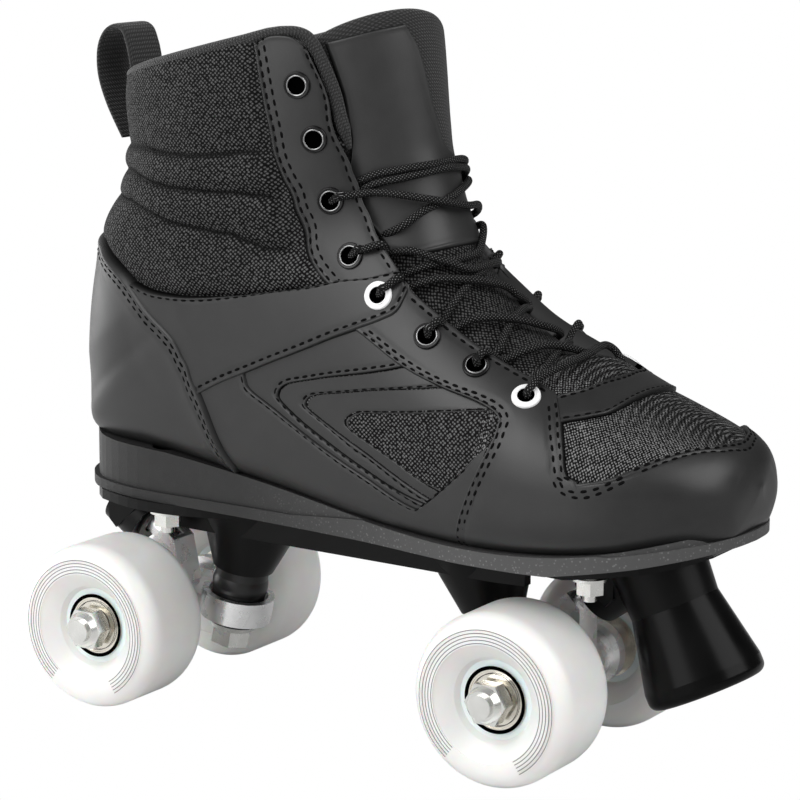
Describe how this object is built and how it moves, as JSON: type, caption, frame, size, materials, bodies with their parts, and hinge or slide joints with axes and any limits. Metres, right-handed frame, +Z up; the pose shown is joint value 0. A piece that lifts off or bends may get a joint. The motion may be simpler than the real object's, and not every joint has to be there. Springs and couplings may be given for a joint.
{
  "type": "roller skate",
  "caption": "Quad roller skate with a laced ankle boot, padded collar, moulded plate, sprung steering trucks, wide wheels on ball bearings and an angled toe stop.",
  "frame": {"origin": "on the floor, below the middle of the skate's box in length and width", "axes": "+X towards the toe, +Y to the wearer's left, +Z up"},
  "size_m": [0.2629, 0.1172, 0.2441],
  "materials": {
    "urethane": "cast urethane, satin white",
    "bearing_steel": "ground bearing steel",
    "chromed_alloy": "polished chrome on cast alloy",
    "zinc_steel": "zinc-plated steel",
    "cushion_rubber": "moulded urethane rubber, black",
    "plate_nylon": "glass-filled nylon, black",
    "stop_rubber": "moulded rubber, half gloss",
    "sole_rubber": "dark grey moulded sole",
    "insole_foam": "textile-covered foam",
    "mesh_textile": "black mesh textile over padding",
    "black_leather": "black synthetic leather",
    "tongue_leather": "padded black tongue",
    "eyelet_metal": "black eyelets",
    "white_eyelet": "white eyelets",
    "webbing": "black woven polyester"
  },
  "bodies": {
    "boot": {"front_kingpin": "zinc_steel", "front_kingpin_washer": "zinc_steel", "front_upper_cushion": "cushion_rubber", "front_lower_cushion": "cushion_rubber", "front_pivot_cup": "cushion_rubber", "rear_kingpin": "zinc_steel", "rear_kingpin_washer": "zinc_steel", "rear_upper_cushion": "cushion_rubber", "rear_lower_cushion": "cushion_rubber", "rear_pivot_cup": "cushion_rubber", "plate": "plate_nylon", "plate_bolts": "zinc_steel", "plate_nuts": "zinc_steel", "toe_stop_bolt": "zinc_steel", "toe_stop": "stop_rubber", "sole": "sole_rubber", "insole": "insole_foam", "vamp": "mesh_textile", "quarters": "mesh_textile", "heel_counter": "black_leather", "ankle_panel_right": "black_leather", "ankle_panel_left": "black_leather", "eyestay_right": "black_leather", "eyestay_left": "black_leather", "facing_right": "black_leather", "facing_left": "black_leather", "side_panel_right": "black_leather", "side_panel_left": "black_leather", "side_bands": "black_leather", "toe_cap": "black_leather", "foxing": "black_leather", "vamp_bar": "black_leather", "tongue": "tongue_leather", "eyelets_black": "eyelet_metal", "eyelets_white": "white_eyelet", "collar_binding": "webbing", "pull_loop": "webbing", "lace": "webbing"},
    "front_truck": {"front_hanger": "chromed_alloy", "front_axle": "zinc_steel", "front_axle_nuts": "zinc_steel", "front_bearing_inner_rings": "bearing_steel", "front_bearing_spacers": "bearing_steel"},
    "rear_truck": {"rear_hanger": "chromed_alloy", "rear_axle": "zinc_steel", "rear_axle_nuts": "zinc_steel", "rear_bearing_inner_rings": "bearing_steel", "rear_bearing_spacers": "bearing_steel"},
    "wheel_fr": {"wheel_fr": "urethane", "bearing_outer_rings_fr": "bearing_steel", "bearing_balls_fr": "bearing_steel"},
    "wheel_fl": {"wheel_fl": "urethane", "bearing_outer_rings_fl": "bearing_steel", "bearing_balls_fl": "bearing_steel"},
    "wheel_rr": {"wheel_rr": "urethane", "bearing_outer_rings_rr": "bearing_steel", "bearing_balls_rr": "bearing_steel"},
    "wheel_rl": {"wheel_rl": "urethane", "bearing_outer_rings_rl": "bearing_steel", "bearing_balls_rl": "bearing_steel"}
  },
  "joints": [
    {"name": "front_steer", "type": "hinge", "parent": "boot", "child": "front_truck", "pos_m": [0.07323, 0, 0.057], "axis": [0.8152, 0, 0.5792], "range_deg": [-8, 8], "stiffness_Nm_per_rad": 14, "deforming": ["front_upper_cushion", "front_lower_cushion"]},
    {"name": "rear_steer", "type": "hinge", "parent": "boot", "child": "rear_truck", "pos_m": [-0.11177, 0, 0.057], "axis": [-0.8152, 0, 0.5792], "range_deg": [-8, 8], "stiffness_Nm_per_rad": 14, "deforming": ["rear_upper_cushion", "rear_lower_cushion"]},
    {"name": "wheel_fr_spin", "type": "hinge", "parent": "front_truck", "child": "wheel_fr", "pos_m": [0.06123, -0.038, 0.029], "axis": [0, 1, 0], "continuous": true},
    {"name": "wheel_fl_spin", "type": "hinge", "parent": "front_truck", "child": "wheel_fl", "pos_m": [0.06123, 0.038, 0.029], "axis": [0, 1, 0], "continuous": true},
    {"name": "wheel_rr_spin", "type": "hinge", "parent": "rear_truck", "child": "wheel_rr", "pos_m": [-0.09977, -0.038, 0.029], "axis": [0, 1, 0], "continuous": true},
    {"name": "wheel_rl_spin", "type": "hinge", "parent": "rear_truck", "child": "wheel_rl", "pos_m": [-0.09977, 0.038, 0.029], "axis": [0, 1, 0], "continuous": true}
  ]
}
